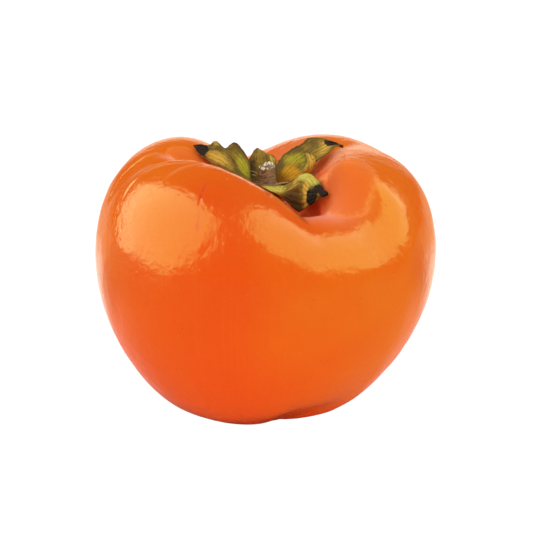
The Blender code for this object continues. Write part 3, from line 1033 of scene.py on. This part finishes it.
# white surroundings; two soft boxes show only as reflections, and a broad key lights from above
room = {
    "surround": 0.80,       # what lights the object evenly
    "mirrorFront": (0.70, 0.12, 0.03, 1),   # what its gloss shows from the sides and overhead
    "mirrorBack": (1.65, 1.20, 0.90, 1),    # and from straight behind, at +Y
    "backFade": (0.93, 0.99),   # where the gloss passes from front to back, by how far it points to +Y
    # direction from the object in degrees, roll, sideways shift and size at one metre, radiance
    "softBoxLeft": {"azimuth": -89, "elevation": 32, "roll": 36, "shift": (0.11, -0.05),
                    "size": (1.70, 1.66), "radiance": 5.0},
    "softBoxRight": {"azimuth": 79, "elevation": 54, "roll": 70, "shift": (-0.16, -0.08),
                     "size": (1.46, 1.85), "radiance": 4.3},
    "keyAbove": {"azimuth": -20, "elevation": 62, "roll": 0, "shift": (0, 0), "size": (1.6, 1.6),
                 "radiance": 0.55},
    "aimHeight": 0.04,
    "warm": (1.0, 0.97, 0.66),
}
# The camera sees the floor evenly white, and it glows a little on the object's underside. In the
# gloss it is bright only behind the object, in a wedge that opens backwards, and shines orange
# near the object, from the fruit's own light. Distances are in metres.
floorLook = {
    "size": 6.0,
    "drop": 0.0002,
    "plain": (0.9, 0.9, 0.9, 1),
    "plainInGloss": (0.12, 0.12, 0.12, 1),
    "glow": (0.30, 0.30, 0.30, 1),
    "bounce": (0.90, 0.33, 0.26, 1),
    "bounceRise": (0.012, 0.034),    # it begins and ends at these distances from the middle
    "bounceFall": (0.07, 0.15),
    "bounceBack": (-0.03, 0.02),     # and how far back it begins
    "behind": (1.30, 1.02, 0.86, 1),
    "behindRise": (0.045, 0.12),
    "far": (0.90, 0.37, 0.16, 1),
    "farRise": (0.15, 0.26),
    "wedge": (0.035, 0.6, 0.07),     # half width, slope of its sides and how soft they are
}


def buildFloor():
    finish = Finish("floorWhite", Roughness=0.9, Emission_Strength=1.0)
    seen, soft, gloss = (finish.rayIs(kind) for kind in ("Camera", "Diffuse", "Glossy"))
    spot = finish.place((1, 1, 0))
    back = finish.part(spot, "Y")
    away = finish.add("ShaderNodeVectorMath", {"operation": "LENGTH"}, {0: spot}, "Value")
    half, slope, edge = floorLook["wedge"]
    behind = (back - (abs(finish.part(spot, "X")) - half) * slope).step(0.0, edge)
    ring = away.step(*floorLook["bounceRise"]) * (1 - away.step(*floorLook["bounceFall"]))
    mirrored = finish.layered(black, floorLook, [
        ("bounce", ring * back.step(*floorLook["bounceBack"])),
        ("behind", behind * away.step(*floorLook["behindRise"])),
        ("far", behind * away.step(*floorLook["farRise"])),
    ])
    glow = finish.blend(soft, finish.blend(gloss, black, mirrored), floorLook["glow"])
    plain = finish.blend(gloss, floorLook["plain"], floorLook["plainInGloss"])
    finish.finishWith(Base_Color=finish.blend(seen, plain, black),
                      Emission_Color=finish.blend(seen, glow, white))
    side = floorLook["size"] / 2
    corners = [(-side, -side, 0), (side, -side, 0), (side, side, 0), (-side, side, 0)]
    floor = meshObject("floor", corners, [(0, 1, 2, 3)], finish)
    floor.location.z = fruitLow.z - floorLook["drop"]


def addLight(name, look, glossyOnly):
    azimuth, elevation, roll = (math.radians(look[k]) for k in ("azimuth", "elevation", "roll"))
    level = math.cos(elevation)
    away = Vector((math.sin(azimuth) * level, -math.cos(azimuth) * level, math.sin(elevation)))
    across = Vector((0, 0, 1)).cross(away).normalized()
    rolled = across * math.cos(roll) + away.cross(across) * math.sin(roll)
    over = away.cross(rolled)
    data = bpy.data.lights.new(name, "AREA")
    data.shape = "ELLIPSE" if glossyOnly else "RECTANGLE"
    if glossyOnly:
        data.color = room["warm"]
    data.size, data.size_y = look["size"]
    area = data.size * data.size_y * (math.pi / 4 if glossyOnly else 1)
    data.energy = look["radiance"] * math.pi * area
    light = addObject(name, data)
    light.location = away + rolled * look["shift"][0] + over * look["shift"][1]
    light.location.z += room["aimHeight"]
    light.rotation_euler = Matrix((rolled, over, away)).transposed().to_euler()
    light.visible_camera = False
    light.visible_diffuse = not glossyOnly
    light.visible_glossy = glossyOnly


def lightRoom():
    world = bpy.data.worlds.new("studio")
    bpy.context.scene.world = world
    studio = NodeMaker(world)
    seen, gloss = studio.rayIs("Camera"), studio.rayIs("Glossy")
    direction = studio.add("ShaderNodeTexCoord", output="Generated")
    toBack = studio.part(direction, "Y").step(*room["backFade"])
    mirrored = studio.blend(toBack, room["mirrorFront"], room["mirrorBack"])
    background = studio.nodes["Background"].inputs
    studio.feed(background["Color"], studio.blend(gloss, white, mirrored))
    # full strength to the camera and in the gloss
    studio.feed(background["Strength"], 1 - (1 - gloss) * (1 - seen) * (1 - room["surround"]))
    for name in ("softBoxLeft", "softBoxRight", "keyAbove"):
        addLight(name, room[name], name != "keyAbove")


camera = {
    "elevation": 16.0,
    "distance": 0.450,
    "targetHeight": 39.1,     # in mm, in the frame of the fruit's own form
    "widthInView": 129.0557,  # in mm, at the target
    "sensor": 36.0,
}


def addCamera(seat):
    data = bpy.data.cameras.new("camera")
    data.sensor_width = camera["sensor"]
    data.lens = camera["sensor"] * camera["distance"] / (camera["widthInView"] * mm)
    view = addObject("camera", data)
    target = Vector((-seat[0], -seat[1], camera["targetHeight"] - seat[2])) * mm
    up = math.radians(camera["elevation"])
    view.location = target + camera["distance"] * Vector((0, -math.cos(up), math.sin(up)))
    view.rotation_euler = (target - view.location).to_track_quat("-Z", "Y").to_euler()
    bpy.context.scene.camera = view


bpy.context.scene.view_settings.view_transform = "Standard"
fruitPiece, seat = buildFruit(skinFinish())
print("fruit:", len(fruitPiece.data.polygons), "faces, seat", seat)
surface = BVHTree.FromPolygons(
    [v.co for v in fruitPiece.data.vertices], [p.vertices for p in fruitPiece.data.polygons]
)
leaf = leafFinish()
buildDisc(seat, surface, leaf)
for number, (name, sepal) in enumerate(sepals.items()):
    buildSepal(name, sepal, surface, seat, leaf, 3.0 + number)
print("calyx: four sepals and a folded flap on their disc")
buildFibres(seat)
buildStem(seat, barkFinish())
print("stem: stub with", sum(kind["count"] for kind in stem["splinters"]), "splinters")
buildFloor()
lightRoom()
addCamera(seat)
print("room: floor, lights and camera")
